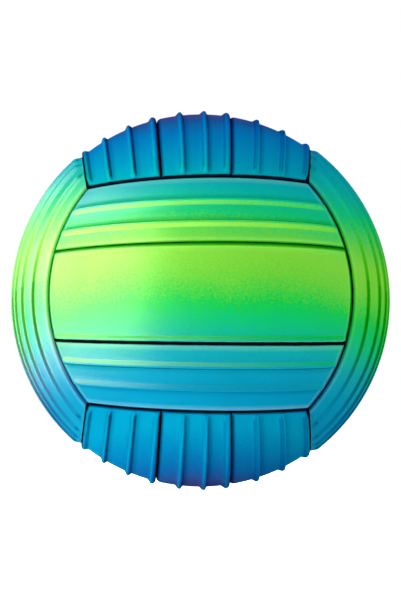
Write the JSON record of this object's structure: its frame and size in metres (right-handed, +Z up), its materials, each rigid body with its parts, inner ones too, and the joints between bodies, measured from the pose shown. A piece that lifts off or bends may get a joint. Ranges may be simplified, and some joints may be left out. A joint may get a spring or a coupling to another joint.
{
  "type": "beach ball",
  "caption": "Inflated beach ball in the volleyball panel layout: ribbed moulded strips over a lining and a bladder, with a needle valve.",
  "frame": {"origin": "centre of the ball", "axes": "+Z up, -Y out of the plain front strip, +Y out along the needle valve's axis"},
  "size_m": [0.2158, 0.2118, 0.2158],
  "materials": {
    "pearl_lime": "satin",
    "pearl_teal": "satin",
    "pearl_blue": "satin",
    "lining_black": "matte",
    "bladder_rubber": "matte",
    "valve_rubber": "matte"
  },
  "bodies": {
    "ball": {"top_left_strip": "pearl_blue", "top_middle_strip": "pearl_blue", "top_right_strip": "pearl_blue", "bottom_left_strip": "pearl_blue", "bottom_middle_strip": "pearl_blue", "bottom_right_strip": "pearl_blue", "right_front_strip": "pearl_lime", "right_middle_strip": "pearl_lime", "right_back_strip": "pearl_lime", "left_front_strip": "pearl_lime", "left_middle_strip": "pearl_lime", "left_back_strip": "pearl_lime", "back_lower_strip": "pearl_teal", "back_middle_strip": "pearl_lime", "back_upper_strip": "pearl_teal", "front_lower_strip": "pearl_teal", "front_middle_strip": "pearl_lime", "front_upper_strip": "pearl_teal", "lining": "lining_black", "bladder": "bladder_rubber", "valve_seat": "valve_rubber"},
    "valve_insert": {"valve_insert": "valve_rubber"}
  },
  "joints": [
    {"name": "valve_insert_pull", "type": "slide", "parent": "ball", "child": "valve_insert", "axis": [0, 1, 0], "range_m": [0, 0.03]}
  ]
}
